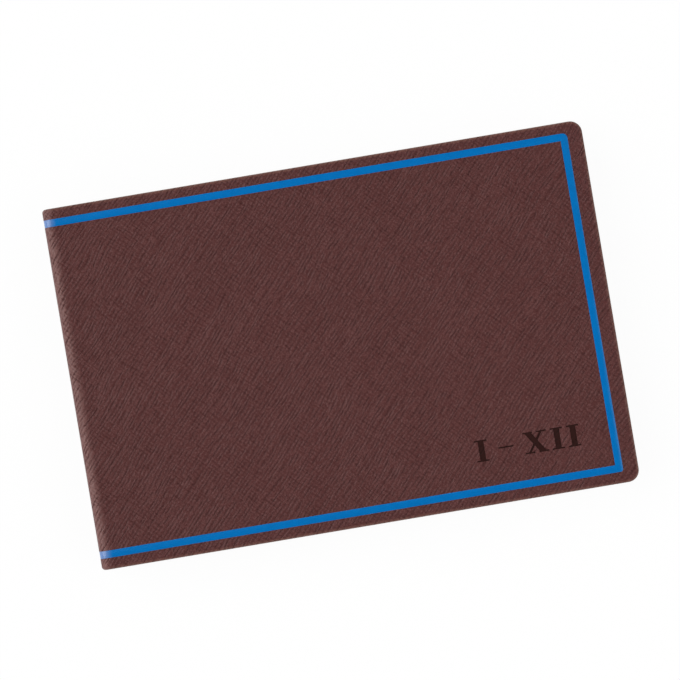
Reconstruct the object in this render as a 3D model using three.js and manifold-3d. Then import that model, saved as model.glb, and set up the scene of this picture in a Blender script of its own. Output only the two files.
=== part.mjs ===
// Landscape pocket diary, closed and lying on its back cover.
// Millimetres. +X runs from the spine to the fore-edge, +Y to the head, +Z up to the front cover.
// The origin is on the table under the middle of the back cover.

import * as THREE from 'three';
import { mergeVertices } from 'three/addons/utils/BufferGeometryUtils.js';
import Module from 'manifold-3d';

const wasm = await Module();
wasm.setup();

// Covers and spine
const coverLength = 150;
const coverHeight = 100.4;
const foreCornerRadius = 3.3;
const spineCornerRadius = 1.3;
const shoulderRadius = 2.2;
const edgeRound = 0.95;
const skinThickness = 0.6;
const boardThickness = 1.15;
const spineCardThickness = 0.5;
const turnInThickness = 0.3;
const turnInWidth = 12;
const turnInCornerRadius = 1;
const spineEdgeRound = 0.6;

// Line let into the skin
const lineWidth = 2.05;
const lineThickness = 0.15;
const lineHeadMargin = 3;
const lineTailMargin = 3.2;
const lineForeMargin = 4.3;
const lineCornerRadius = 1;

// Leaves
const sectionCount = 10;
const leavesPerSection = 8;
const leafThickness = 0.09;
const endpaperThickness = 0.15;
const square = 3;
const leafCornerRadius = 2.8;
const pastedownMargin = 3.2;
const pastedownCornerRadius = 1.5;
const middleSlit = 0.04;

// Sewing, lining and bands
const threadRadius = 0.15;
const threadLength = 78;
const threadDepth = 0.65;
const liningThickness = 0.25;
const bandRadius = 0.6;
const bandTapeWidth = 7;
const foldRoom = 1.5;

// Clearances
const sideClearance = 0.05;
const turnClearance = 0.05;
const mitreClearance = 0.1;
const liningClearance = 0.1;
const boardSetBack = 0.45;
const cardSetBack = 0.4;

// Worked out from the above
const halfLength = coverLength / 2;
const halfHeight = coverHeight / 2;
const panelThickness = skinThickness + boardThickness + turnInThickness;
const coverThickness = panelThickness + endpaperThickness;
const sectionThickness = leavesPerSection * leafThickness;
const sectionPitch = sectionThickness + turnClearance;
const blockThickness = sectionCount * sectionPitch + turnClearance + 2 * endpaperThickness;
const diaryThickness = blockThickness + 2 * coverThickness;
const hingeInset = shoulderRadius * (1 - Math.SQRT1_2);
const hingeX = -halfLength + hingeInset;
const shoulderX = -halfLength + shoulderRadius;
const foldX = hingeX + foldRoom;
const foreX = halfLength - square;
const leafHalfHeight = halfHeight - square;
const spineThickness = skinThickness + spineCardThickness + turnInThickness;
const boardStartX = hingeX + panelThickness - hingeInset + boardSetBack;
const fieldHalfHeight = halfHeight - turnInWidth;
const fieldEndX = halfLength - turnInWidth;
const far = 2 * coverLength;

// A closed triangle mesh as a solid that can be cut and joined.
function solid(geometry) {
  const bare = geometry.clone();
  bare.deleteAttribute('normal');
  bare.deleteAttribute('uv');
  const welded = mergeVertices(bare, 1e-5);
  const triVerts = Uint32Array.from(welded.index.array);
  const vertProperties = Float32Array.from(welded.attributes.position.array);
  return new wasm.Manifold(new wasm.Mesh({ numProp: 3, vertProperties, triVerts }));
}

function geometryOf(body) {
  const { vertProperties, triVerts } = body.getMesh();
  const geometry = new THREE.BufferGeometry();
  geometry.setAttribute('position', new THREE.BufferAttribute(vertProperties, 3));
  geometry.setIndex(new THREE.BufferAttribute(triVerts, 1));
  const faceted = geometry.toNonIndexed();
  faceted.computeVertexNormals();
  return faceted;
}

const colours = {
  leatherette: { color: 0x56363a, roughness: 0.62, metalness: 0 },
  lineBlue: { color: 0x0070ba, roughness: 0.5, metalness: 0 },
  board: { color: 0x9a8f7c, roughness: 0.9, metalness: 0 },
  endpaper: { color: 0xe9e4d6, roughness: 0.85, metalness: 0 },
  leaves: { color: 0xf3efe4, roughness: 0.85, metalness: 0 },
  gauze: { color: 0xe2dccb, roughness: 0.95, metalness: 0 },
  band: { color: 0x2f6fa8, roughness: 0.8, metalness: 0 },
  thread: { color: 0xefeadb, roughness: 0.9, metalness: 0 },
};

function piece(name, body, look) {
  const mesh = new THREE.Mesh(geometryOf(body), new THREE.MeshStandardMaterial(colours[look]));
  mesh.name = name;
  return mesh;
}

// Points of an arc about a centre, angles in degrees.
function arcPoints(centreX, centreY, radius, fromDegrees, toDegrees, steps) {
  const points = [];
  for (let i = 0; i <= steps; i += 1) {
    const angle = THREE.MathUtils.degToRad(fromDegrees + ((toDegrees - fromDegrees) * i) / steps);
    points.push(new THREE.Vector2(centreX + radius * Math.cos(angle), centreY + radius * Math.sin(angle)));
  }
  return points;
}

// Outline seen from above, with one corner radius at the spine end and one at the fore-edge end.
function panelOutline(startX, endX, tailY, headY, startRadius, endRadius) {
  const steps = 8;
  const corner = (x, y, towardX, towardY, radius, from) => (
    radius > 0
      ? arcPoints(x + towardX * radius, y + towardY * radius, radius, from, from + 90, steps)
      : [new THREE.Vector2(x, y)]
  );
  return new THREE.Shape([
    ...corner(startX, tailY, 1, 1, startRadius, 180),
    ...corner(endX, tailY, -1, 1, endRadius, 270),
    ...corner(endX, headY, -1, -1, endRadius, 0),
    ...corner(startX, headY, 1, -1, startRadius, 90),
  ]);
}

function evenOutline(startX, endX, halfSpan, startRadius, endRadius) {
  return panelOutline(startX, endX, -halfSpan, halfSpan, startRadius, endRadius);
}

// A flat plate of an outline seen from above.
function plate(outline, fromZ, toZ) {
  const geometry = new THREE.ExtrudeGeometry(outline, { depth: toZ - fromZ, bevelEnabled: false });
  geometry.translate(0, 0, fromZ);
  return solid(geometry);
}

// A plate whose rim is rounded on both faces, from zero to its thickness along the extrusion.
function roundedGeometry(outline, thickness, round) {
  const geometry = new THREE.ExtrudeGeometry(outline, {
    depth: thickness - 2 * round,
    bevelEnabled: true,
    bevelThickness: round,
    bevelSize: round,
    bevelOffset: -round,
    bevelSegments: 5,
  });
  geometry.translate(0, 0, round);
  return geometry;
}

// A profile drawn in X and Z, run along Y well past the head and the tail.
function alongY(points) {
  const geometry = new THREE.ExtrudeGeometry(new THREE.Shape(points), { depth: far, bevelEnabled: false });
  const turn = new THREE.Matrix4().makeBasis(
    new THREE.Vector3(1, 0, 0),
    new THREE.Vector3(0, 0, 1),
    new THREE.Vector3(0, -1, 0),
  );
  geometry.applyMatrix4(turn);
  geometry.translate(0, far / 2, 0);
  return solid(geometry);
}

function coverOutline() {
  return evenOutline(-halfLength, halfLength, halfHeight, spineCornerRadius, foreCornerRadius);
}

// Arc of the lower shoulder at a depth under the skin. The hinge line is at its middle.
const hingeAngle = 225;
const mitreAngle = THREE.MathUtils.radToDeg(mitreClearance / shoulderRadius);
function shoulderArc(depth, fromDegrees, toDegrees) {
  const steps = 5;
  return arcPoints(shoulderX, shoulderRadius, shoulderRadius - depth, fromDegrees, toDegrees, steps);
}

function turnedOver(points) {
  return points.map((p) => new THREE.Vector2(p.x, diaryThickness - p.y)).reverse();
}

// What the back cover keeps of its plate beside the spine: half of the shoulder and a slanted end.
function panelProfile() {
  const slantX = hingeX + mitreClearance * Math.SQRT2;
  return [
    ...shoulderArc(0, hingeAngle + mitreAngle, 270),
    new THREE.Vector2(shoulderX, -far),
    new THREE.Vector2(far, -far),
    new THREE.Vector2(far, coverThickness),
    new THREE.Vector2(slantX + coverThickness - hingeInset, coverThickness),
  ];
}

// A layer of the back cover between two depths under its face, ending an angle short of the hinge line.
function panelLayer(outerDepth, innerDepth, shortOfHinge) {
  const start = hingeAngle + shortOfHinge;
  return [
    ...shoulderArc(outerDepth, start, 270),
    new THREE.Vector2(far, outerDepth),
    new THREE.Vector2(far, innerDepth),
    ...shoulderArc(innerDepth, 270, start),
  ];
}

// A layer of the spine, ending as far short of both its hinge lines.
function spineLayer(outerDepth, innerDepth, shortOfHinge) {
  const face = (depth) => {
    const shoulder = shoulderArc(depth, hingeAngle - shortOfHinge, 180);
    return [...shoulder, ...turnedOver(shoulder)];
  };
  return [...face(outerDepth), ...face(innerDepth).reverse()];
}

// What the spine keeps of its plate: both half shoulders, and slanted ends beside the covers.
function spineProfile() {
  const shoulder = shoulderArc(0, hingeAngle - mitreAngle, 180);
  const slant = mitreClearance * Math.SQRT2;
  const slantZ = hingeInset + slant + (foldX - hingeX);
  return [
    ...shoulder,
    new THREE.Vector2(-far, shoulderRadius),
    new THREE.Vector2(-far, diaryThickness - shoulderRadius),
    ...turnedOver(shoulder),
    new THREE.Vector2(foldX, diaryThickness - slantZ),
    new THREE.Vector2(foldX, slantZ),
  ];
}

// Plan of the line: a frame open toward the spine, grown all round by a clearance.
function lineBand(grow) {
  const head = halfHeight - lineHeadMargin + grow;
  const tail = -halfHeight + lineTailMargin - grow;
  const fore = halfLength - lineForeMargin + grow;
  const width = lineWidth + 2 * grow;
  const whole = plate(panelOutline(-far, fore, tail, head, 0, lineCornerRadius + grow), -far, far);
  const inside = plate(panelOutline(-2 * far, fore - width, tail + width, head - width, 0, 0), -far, far);
  return whole.subtract(inside);
}

function lineChannel(layer) {
  return alongY(layer(-sideClearance, lineThickness + sideClearance, 0)).intersect(lineBand(sideClearance));
}

// Pocket for a board, and the opening that the turned-in edges leave over it.
function boardOutline(clearance) {
  const radius = foreCornerRadius - skinThickness;
  const inset = skinThickness + sideClearance - clearance;
  return evenOutline(boardStartX - clearance, halfLength - inset, halfHeight - inset, 0, radius);
}

function fieldOutline(inset, startX) {
  return evenOutline(startX, fieldEndX - inset, fieldHalfHeight - inset, 0, turnInCornerRadius);
}

function coverSkin() {
  const boardTop = skinThickness + boardThickness;
  const rounded = solid(roundedGeometry(coverOutline(), panelThickness, edgeRound));
  return rounded
    .intersect(alongY(panelProfile()))
    .subtract(plate(boardOutline(sideClearance), skinThickness, boardTop))
    .subtract(plate(fieldOutline(0, -far), boardTop, coverThickness))
    .subtract(lineChannel(panelLayer));
}

function coverBoard() {
  return plate(boardOutline(0), skinThickness, skinThickness + boardThickness);
}

// The pastedown lies on the turned-in edges and dips between them onto the board.
function pastedown() {
  const boardTop = skinThickness + boardThickness;
  const endX = halfLength - pastedownMargin;
  const rim = plate(
    evenOutline(boardStartX, endX, halfHeight - pastedownMargin, 0, pastedownCornerRadius),
    panelThickness,
    coverThickness,
  );
  const dip = plate(fieldOutline(sideClearance, boardStartX), boardTop, coverThickness);
  const hollow = plate(
    fieldOutline(sideClearance + endpaperThickness, -far),
    boardTop + endpaperThickness,
    diaryThickness,
  );
  return rim.add(dip).subtract(hollow);
}

function coverLine() {
  return alongY(panelLayer(0, lineThickness, mitreAngle)).intersect(lineBand(0));
}

// Spine
function spinePlate() {
  const outline = new THREE.Shape([
    new THREE.Vector2(-halfHeight, -far),
    new THREE.Vector2(halfHeight, -far),
    new THREE.Vector2(halfHeight, far),
    new THREE.Vector2(-halfHeight, far),
  ]);
  const geometry = roundedGeometry(outline, spineThickness, spineEdgeRound);
  const turn = new THREE.Matrix4().makeBasis(
    new THREE.Vector3(0, 1, 0),
    new THREE.Vector3(0, 0, 1),
    new THREE.Vector3(1, 0, 0),
  );
  geometry.applyMatrix4(turn);
  geometry.translate(-halfLength, 0, 0);
  return solid(geometry);
}

const cardStartX = -halfLength + skinThickness;
const cardEndX = cardStartX + spineCardThickness;
const cardLowZ = hingeInset + (cardEndX - hingeX) + cardSetBack;

function spineCard(clearance) {
  const halfSpan = halfHeight - skinThickness - sideClearance + clearance;
  return plate(
    evenOutline(cardStartX, cardEndX, halfSpan, 0, 0),
    cardLowZ - clearance,
    diaryThickness - cardLowZ + clearance,
  );
}

function spineSkin() {
  const opening = plate(
    evenOutline(cardEndX, 0, fieldHalfHeight, 0, 0),
    cardLowZ - sideClearance,
    diaryThickness - cardLowZ + sideClearance,
  );
  return spinePlate()
    .intersect(alongY(spineProfile()))
    .intersect(plate(coverOutline(), 0, diaryThickness))
    .subtract(spineCard(sideClearance))
    .subtract(opening)
    .subtract(lineChannel(spineLayer));
}

function spineLine(side) {
  const half = plate(evenOutline(-far, far, far, 0, 0), -far, far).translate([0, side * far, 0]);
  return alongY(spineLayer(0, lineThickness, mitreAngle)).intersect(lineBand(0)).intersect(half);
}

// Gauze behind the folds, and the band at each end of them.
const liningEndX = foldX - turnClearance;
const liningStartX = liningEndX - liningThickness;
const tapeStartY = leafHalfHeight - bandTapeWidth;
const blockLowZ = coverThickness + liningClearance;
const blockHighZ = diaryThickness - coverThickness - liningClearance;

function spineLining() {
  const halfSpan = tapeStartY - liningClearance;
  return plate(evenOutline(liningStartX, liningEndX, halfSpan, 0, 0), blockLowZ, blockHighZ);
}

function endBand(side) {
  const beadY = leafHalfHeight + turnClearance + bandRadius;
  const bead = new THREE.CylinderGeometry(bandRadius, bandRadius, blockHighZ - blockLowZ, 16);
  bead.rotateX(Math.PI / 2);
  bead.translate(foldX, beadY, (blockLowZ + blockHighZ) / 2);
  const tape = plate(
    panelOutline(liningStartX, liningEndX, tapeStartY, beadY, 0, 0),
    blockLowZ,
    blockHighZ,
  );
  const band = solid(bead).add(tape);
  return side > 0 ? band : band.mirror([0, 1, 0]);
}

// A folded section has a rounded fold toward the spine, a slit between its two middle leaves and a channel
// for the thread.
function leafOutline() {
  return evenOutline(-far, foreX, leafHalfHeight, 0, leafCornerRadius);
}

// Both are built with the underside of the section at zero, and placed in the block afterwards.
const threadX = foldX + threadDepth;
const channelRadius = threadRadius + sideClearance;

function section() {
  const middleZ = sectionThickness / 2;
  const slitDegrees = THREE.MathUtils.radToDeg(Math.asin(middleSlit / 2 / channelRadius));
  const profile = [
    new THREE.Vector2(far, 0),
    new THREE.Vector2(far, middleZ - middleSlit / 2),
    ...arcPoints(threadX, middleZ, channelRadius, -slitDegrees, slitDegrees - 360, 10),
    new THREE.Vector2(far, middleZ + middleSlit / 2),
    new THREE.Vector2(far, sectionThickness),
    ...arcPoints(foldX + middleZ, middleZ, middleZ, 90, 270, 8),
  ];
  return alongY(profile).intersect(plate(leafOutline(), 0, sectionThickness));
}

function sewingThread() {
  const run = new THREE.CylinderGeometry(threadRadius, threadRadius, threadLength, 10);
  run.translate(threadX, 0, sectionThickness / 2);
  return solid(run);
}

// Free half of an endpaper, built with its underside at zero.
function flyleaf() {
  return plate(evenOutline(foldX, foreX, leafHalfHeight, 0, leafCornerRadius), 0, endpaperThickness);
}

// The back cover stands as modelled. The front cover is its mirror image, set on top of the leaves.
function cover(side) {
  const group = new THREE.Group();
  const inFront = side === 'front';
  const facing = (body) => (inFront ? body.mirror([0, 0, 1]) : body);
  group.add(piece(`${side}_cover_skin`, facing(coverSkin()), 'leatherette'));
  group.add(piece(`${side}_board`, facing(coverBoard()), 'board'));
  group.add(piece(`${side}_pastedown`, facing(pastedown()), 'endpaper'));
  group.add(piece(`${side}_line`, facing(coverLine()), 'lineBlue'));
  group.position.z = inFront ? diaryThickness : 0;
  return group;
}

function spine() {
  const group = new THREE.Group();
  group.add(piece('spine_skin', spineSkin(), 'leatherette'));
  group.add(piece('spine_card', spineCard(0), 'board'));
  group.add(piece('spine_head_line', spineLine(1), 'lineBlue'));
  group.add(piece('spine_tail_line', spineLine(-1), 'lineBlue'));
  group.add(piece('spine_lining', spineLining(), 'gauze'));
  group.add(piece('headband', endBand(1), 'band'));
  group.add(piece('tailband', endBand(-1), 'band'));
  return group;
}

// The leaves from the rear flyleaf up, with section 01 next to the front cover.
function textBlock() {
  const group = new THREE.Group();
  const rear = piece('rear_flyleaf', flyleaf(), 'endpaper');
  const front = piece('front_flyleaf', flyleaf(), 'endpaper');
  const firstZ = coverThickness + turnClearance + endpaperThickness;
  rear.position.z = firstZ - endpaperThickness;
  front.position.z = firstZ + sectionCount * sectionPitch - turnClearance;
  group.add(rear, front);
  for (let i = 0; i < sectionCount; i += 1) {
    const label = String(sectionCount - i).padStart(2, '0');
    const folded = new THREE.Group();
    folded.add(piece(`section_${label}`, section(), 'leaves'));
    folded.add(piece(`thread_${label}`, sewingThread(), 'thread'));
    folded.position.z = firstZ + i * sectionPitch;
    group.add(folded);
  }
  return group;
}

const diary = new THREE.Group();
diary.name = 'pocket_diary';
diary.add(cover('back'), spine(), textBlock(), cover('front'));

export default diary;
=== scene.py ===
import math
import random

import bmesh
import bpy
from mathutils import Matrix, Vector


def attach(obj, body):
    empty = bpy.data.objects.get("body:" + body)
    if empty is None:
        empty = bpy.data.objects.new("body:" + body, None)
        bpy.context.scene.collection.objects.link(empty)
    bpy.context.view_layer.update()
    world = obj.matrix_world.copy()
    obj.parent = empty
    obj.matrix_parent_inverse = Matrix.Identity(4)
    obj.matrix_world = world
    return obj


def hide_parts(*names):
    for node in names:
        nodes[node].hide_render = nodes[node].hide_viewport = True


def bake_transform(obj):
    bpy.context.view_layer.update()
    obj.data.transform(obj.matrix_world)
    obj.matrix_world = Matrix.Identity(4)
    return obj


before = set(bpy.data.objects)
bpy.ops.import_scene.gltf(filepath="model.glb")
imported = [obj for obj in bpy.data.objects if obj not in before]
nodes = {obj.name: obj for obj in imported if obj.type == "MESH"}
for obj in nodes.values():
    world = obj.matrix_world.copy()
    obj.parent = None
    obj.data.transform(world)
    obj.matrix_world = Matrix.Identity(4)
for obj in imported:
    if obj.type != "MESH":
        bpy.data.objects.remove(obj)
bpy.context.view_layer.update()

# Everything is modelled in millimetres and brought to metres when a piece is finished.
mm = 0.001
tiny = 1e-4


def deselectAll():
    if bpy.context.mode != "OBJECT":
        bpy.ops.object.mode_set(mode="OBJECT")
    bpy.ops.object.select_all(action="DESELECT")


def workOn(piece):
    deselectAll()
    piece.select_set(True)
    bpy.context.view_layer.objects.active = piece


def startEditing(piece, mode="FACE"):
    workOn(piece)
    bpy.ops.object.mode_set(mode="EDIT")
    bpy.ops.mesh.select_mode(type=mode)
    bpy.ops.mesh.select_all(action="DESELECT")


def stopEditing():
    bpy.ops.object.mode_set(mode="OBJECT")


def pickFaces(piece, test):
    mesh = bmesh.from_edit_mesh(piece.data)
    for face in mesh.faces:
        face.select_set(test(face.calc_center_median(), face.normal))
    bmesh.update_edit_mesh(piece.data)


def pickEdges(piece, test):
    mesh = bmesh.from_edit_mesh(piece.data)
    for edge in mesh.edges:
        edge.select_set(test(edge.verts[0].co, edge.verts[1].co))
    bmesh.update_edit_mesh(piece.data)


def pickVerts(piece, test):
    mesh = bmesh.from_edit_mesh(piece.data)
    for vert in mesh.verts:
        vert.select_set(test(vert.co))
    mesh.select_flush_mode()
    bmesh.update_edit_mesh(piece.data)


def bevelEdges(piece, test, offset, segments):
    pickEdges(piece, test)
    bpy.ops.mesh.bevel(offset=offset, segments=segments, affect="EDGES")


def applyPlace():
    bpy.ops.object.transform_apply(location=True, rotation=True, scale=True)


def rename(piece, name):
    piece.name = piece.data.name = name


def wear(piece, *materials):
    piece.data.materials.clear()
    for material in materials:
        piece.data.materials.append(material)


def addBlock(name, low, high):
    deselectAll()
    centre = [(a + b) / 2 for a, b in zip(low, high)]
    bpy.ops.mesh.primitive_cube_add(size=1, location=centre)
    piece = bpy.context.active_object
    rename(piece, name)
    piece.scale = [b - a for a, b in zip(low, high)]
    applyPlace()
    return piece


def cutAcross(piece, places, axis):
    startEditing(piece)
    normal = [1.0 if k == axis else 0.0 for k in range(3)]
    for place in places:
        bpy.ops.mesh.select_all(action="SELECT")
        point = [place if k == axis else 0.0 for k in range(3)]
        bpy.ops.mesh.bisect(plane_co=point, plane_no=normal, threshold=tiny)
    stopEditing()


def applyModifier(piece, modifier):
    workOn(piece)
    bpy.ops.object.modifier_apply(modifier=modifier.name)


def carve(piece, cutter, operation="DIFFERENCE"):
    modifier = piece.modifiers.new("carve", "BOOLEAN")
    modifier.operation = operation
    modifier.solver = "EXACT"
    modifier.use_self = True
    modifier.object = cutter
    modifier.material_mode = "TRANSFER"
    applyModifier(piece, modifier)
    bpy.data.objects.remove(cutter)


def tidyNormals(piece):
    startEditing(piece)
    bpy.ops.mesh.select_all(action="SELECT")
    bpy.ops.mesh.remove_doubles(threshold=tiny)
    bpy.ops.mesh.normals_make_consistent(inside=False)
    stopEditing()


def finishPiece(piece, angle=35):
    workOn(piece)
    piece.scale = (mm, mm, mm)
    applyPlace()
    bpy.ops.object.shade_smooth_by_angle(angle=math.radians(angle))


def copyOf(piece, name):
    twin = piece.copy()
    twin.data = piece.data.copy()
    rename(twin, name)
    bpy.context.scene.collection.objects.link(twin)
    return twin


def joinAll(pieces, name):
    deselectAll()
    for piece in pieces:
        piece.select_set(True)
    bpy.context.view_layer.objects.active = pieces[0]
    bpy.ops.object.join()
    whole = bpy.context.active_object
    rename(whole, name)
    return whole


def newGroup(name, inputs, outputs):
    group = bpy.data.node_groups.new(name, "ShaderNodeTree")
    for label, kind, value in inputs:
        socket = group.interface.new_socket(label, in_out="INPUT", socket_type="NodeSocket" + kind)
        if value is not None:
            socket.default_value = value
    for label, kind in outputs:
        group.interface.new_socket(label, in_out="OUTPUT", socket_type="NodeSocket" + kind)
    return group, group.nodes.new("NodeGroupInput").outputs, group.nodes.new("NodeGroupOutput").inputs


# A source is either another node's socket, which is linked, or a plain value.
def feed(tree, source, socket):
    if hasattr(source, "is_linked"):
        tree.links.new(source, socket)
    else:
        socket.default_value = source


def addNode(tree, kind, sources=(), **settings):
    node = tree.nodes.new(kind)
    for key, value in settings.items():
        setattr(node, key, value)
    for socket, source in dict(sources).items():
        feed(tree, source, node.inputs[socket])
    return node


def useGroup(tree, group, sources):
    return addNode(tree, "ShaderNodeGroup", sources, node_tree=group).outputs


def mathNode(tree, operation, *values):
    return addNode(tree, "ShaderNodeMath", enumerate(values), operation=operation).outputs[0]


def times(tree, first, second):
    return mathNode(tree, "MULTIPLY", first, second)


def plus(tree, first, second):
    return mathNode(tree, "ADD", first, second)


def minus(tree, first, second):
    return mathNode(tree, "SUBTRACT", first, second)


# Noise lies about 0.5; this brings it about 0.
def centred(tree, value):
    return minus(tree, value, 0.5)


def rangeNode(tree, value, fromLow, fromHigh, toLow=0.0, toHigh=1.0, smooth=False):
    sources = {"Value": value, "From Min": fromLow, "From Max": fromHigh, "To Min": toLow, "To Max": toHigh}
    kind = "SMOOTHSTEP" if smooth else "LINEAR"
    return addNode(tree, "ShaderNodeMapRange", sources, interpolation_type=kind).outputs["Result"]


# Among the mix node's sockets the two colours going in are 6 and 7, and the mixed one is 2.
def mixColour(tree, factor, first, second):
    sources = {0: factor, 6: first, 7: second}
    return addNode(tree, "ShaderNodeMix", sources, data_type="RGBA").outputs[2]


def noiseNode(tree, vector, scale, detail=2.0, rough=0.5):
    sources = {"Vector": vector, "Scale": scale, "Detail": detail, "Roughness": rough}
    return addNode(tree, "ShaderNodeTexNoise", sources).outputs["Fac"]


def splitVector(tree, vector):
    return addNode(tree, "ShaderNodeSeparateXYZ", {0: vector}).outputs


def linear(red, green, blue):
    def one(value):
        share = value / 255
        return share / 12.92 if share <= 0.04045 else ((share + 0.055) / 1.055) ** 2.4
    return (one(red), one(green), one(blue), 1.0)


# The bound case in millimetres, at the sizes of the CAD model.
case = {
    "halfLength": 75.0, "halfHeight": 50.2, "thickness": 12.45,
    "foreCorner": 3.3, "shoulder": 2.2, "edgeRound": 0.95,
    "panel": 2.05, "spine": 1.4, "skin": 0.6, "turnIn": 0.3, "turnInWidth": 12.0,
    "foldSteps": 14, "cornerSteps": 9, "rimSteps": 5, "boardStart": -72.5, "underside": 1.0,
}
shoulderX = -case["halfLength"] + case["shoulder"]
shoulderZ = case["thickness"] - case["shoulder"]
foldLength = case["shoulder"] * math.pi / 2
seamX = shoulderX - foldLength - (shoulderZ - case["thickness"] / 2)
foldCuts = [shoulderX - foldLength * k / case["foldSteps"] for k in range(case["foldSteps"] + 1)]
foldStart, foldEnd = shoulderX - seamX, shoulderX - foldLength - seamX

# Noise drawn out along the ridges: its scales across and along them, its seed and its roughness.
ridgeNoise = {
    "wander": (0.4, 0.2, 0.0, 0.5),
    "dash": (0.9, 1.1, 9.1, 0.5),
    "streak": (2.4, 1.8, 4.7, 0.6),
    "broad": (0.45, 0.25, 13.3, 0.5),
}
ridgeShape = {"wobbleScale": 1.5, "wobble": 0.62, "dashFrom": 0.35, "dashFull": 0.62, "dashLeast": 0.2,
              "streak": 0.8, "broad": 0.3}


# Irregular ridges that run one way: a wave with wandering spacing, broken up along its length.
def makeRidges():
    look = ridgeShape
    group, start, end = newGroup(
        "wanderingRidges",
        [("Vector", "Vector", None), ("Turn", "Float", 0.8), ("Pitch", "Float", 1.1),
         ("Length", "Float", 6.0), ("Wander", "Float", 1.0), ("Seed", "Float", 0.0)],
        [("Groove", "Float")])
    turned = addNode(group, "ShaderNodeVectorRotate",
                     {"Vector": start["Vector"], "Angle": times(group, start["Turn"], -1.0)},
                     rotation_type="Z_AXIS")
    parts = splitVector(group, turned.outputs[0])
    along = mathNode(group, "DIVIDE", parts[0], start["Length"])
    across = mathNode(group, "DIVIDE", parts[1], start["Pitch"])

    def streaks(layer):
        acrossScale, alongScale, seed, rough = ridgeNoise[layer]
        place = addNode(group, "ShaderNodeCombineXYZ", {
            0: times(group, along, alongScale),
            1: times(group, across, acrossScale),
            2: plus(group, start["Seed"], seed)}).outputs[0]
        return noiseNode(group, place, 1.0, 1.0, rough)

    wander = times(group, centred(group, streaks("wander")), start["Wander"])
    wobble = centred(group, noiseNode(group, start["Vector"], look["wobbleScale"], 1.0))
    wander = mathNode(group, "MULTIPLY_ADD", wobble, look["wobble"], wander)
    wave = mathNode(group, "SINE", times(group, plus(group, across, wander), math.pi))
    groove = minus(group, 1.0, mathNode(group, "ABSOLUTE", wave))
    dashes = rangeNode(group, streaks("dash"), look["dashFrom"], look["dashFull"], look["dashLeast"], 1.0)
    groove = times(group, groove, dashes)
    for layer in ("streak", "broad"):
        groove = mathNode(group, "MULTIPLY_ADD", centred(group, streaks(layer)), look[layer], groove)
    feed(group, groove, end["Groove"])
    return group


# Turns are in degrees, pitch and lengths in millimetres, scales per millimetre.
grainShape = {
    "turn": 48, "pitch": 1.03, "crossShare": 0.4, "crossLeast": 0.3, "crossMost": 1.25, "crossThins": 0.5,
    "flowScale": 0.04, "flow": 3.4, "regionScale": 0.085, "regionFrom": 0.38, "regionFull": 0.62,
    "pebbleScale": 2.2, "pebbleHeight": 0.6, "pebbleShade": 1.5, "patchScale": 0.045,
    "grooveFrom": 0.62, "peakFrom": 0.75, "peakFull": 1.25,
}
mainRidges = {"turn": 0, "length": 2.9, "wander": 1.6, "seed": 0.0}
crossRidges = {"turn": 88, "length": 2.6, "wander": 1.3, "seed": 21.0}


# The leatherette's two-way grain: long ridges one way, crossed by weaker ones, in soft patches.
def makeCrossGrain(ridges):
    look = grainShape
    group, start, end = newGroup(
        "crossGrain",
        [("Vector", "Vector", None), ("Turn", "Float", math.radians(look["turn"])),
         ("Pitch", "Float", look["pitch"]), ("Cross", "Float", look["crossShare"])],
        [("Height", "Float"), ("Groove", "Float"), ("Peak", "Float"), ("Patch", "Float")])
    flow = addNode(group, "ShaderNodeTexNoise",
                   {"Vector": start["Vector"], "Scale": look["flowScale"], "Detail": 1.0}).outputs["Color"]
    flow = addNode(group, "ShaderNodeVectorMath", {0: flow, 1: (0.5, 0.5, 0.5)}, operation="SUBTRACT")
    flow = addNode(group, "ShaderNodeVectorMath",
                   {0: flow.outputs[0], 1: (look["flow"], look["flow"], 0.0), 2: start["Vector"]},
                   operation="MULTIPLY_ADD")
    vector = flow.outputs[0]

    def run(shape):
        turn = plus(group, start["Turn"], math.radians(shape["turn"]))
        return useGroup(group, ridges, {
            "Vector": vector, "Turn": turn, "Pitch": start["Pitch"], "Length": shape["length"],
            "Wander": shape["wander"], "Seed": shape["seed"]})["Groove"]

    main, cross = run(mainRidges), run(crossRidges)
    region = noiseNode(group, vector, look["regionScale"], 2.0, 0.55)
    region = rangeNode(group, region, look["regionFrom"], look["regionFull"], smooth=True)
    region = rangeNode(group, region, 0.0, 1.0, look["crossLeast"], look["crossMost"])
    crossShare = times(group, start["Cross"], region)
    mainShare = minus(group, 1.0, times(group, crossShare, look["crossThins"]))
    groove = mathNode(group, "MULTIPLY_ADD", main, mainShare, times(group, cross, crossShare))
    pebble = centred(group, noiseNode(group, vector, look["pebbleScale"], 2.0, 0.65))
    height = minus(group, mathNode(group, "MULTIPLY_ADD", pebble, look["pebbleHeight"], 1.0), groove)
    # The pebbles speckle the Groove and Peak masks; in the leatherette's colour these carry painted shade and
    # painted highlights as well as the grain's tone.
    shade = mathNode(group, "MULTIPLY_ADD", pebble, look["pebbleShade"], height)
    feed(group, height, end["Height"])
    feed(group, rangeNode(group, shade, look["grooveFrom"], 0.0), end["Groove"])
    feed(group, rangeNode(group, shade, look["peakFrom"], look["peakFull"]), end["Peak"])
    feed(group, noiseNode(group, vector, look["patchScale"], 3.0, 0.6), end["Patch"])
    return group


fibreShape = {"stretch": (0.55, 1.6, 1.0), "scale": 2.2, "cloudScale": 0.12, "cloudShare": 0.12}


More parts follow.
